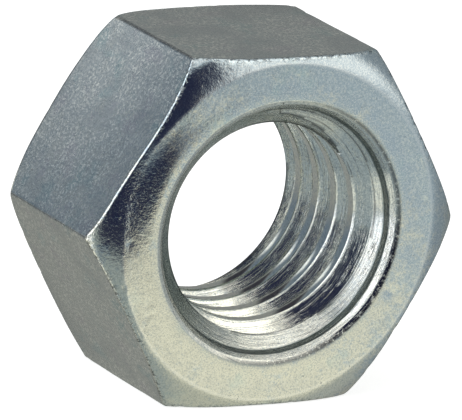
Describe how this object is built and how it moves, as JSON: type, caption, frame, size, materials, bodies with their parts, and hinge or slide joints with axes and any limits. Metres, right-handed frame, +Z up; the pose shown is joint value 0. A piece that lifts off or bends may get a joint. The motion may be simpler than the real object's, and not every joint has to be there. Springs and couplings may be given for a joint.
{
  "type": "hex nut",
  "caption": "Plain hexagon nut with chamfered corners, countersunk bore mouths and a right-hand inch coarse thread; clamps parts onto a bolt or stud.",
  "frame": {"origin": "on the thread axis at half the nut's thickness, which is the centre of its bounding box", "axes": "+Z up with the nut standing on one flat; Y is the thread axis, with the seen face at -Y; X runs corner to corner"},
  "size_m": [0.0216, 0.011, 0.0188],
  "materials": {
    "zinc_steel": "satin"
  },
  "bodies": {
    "root": {"hex_nut": "zinc_steel"}
  },
  "joints": []
}
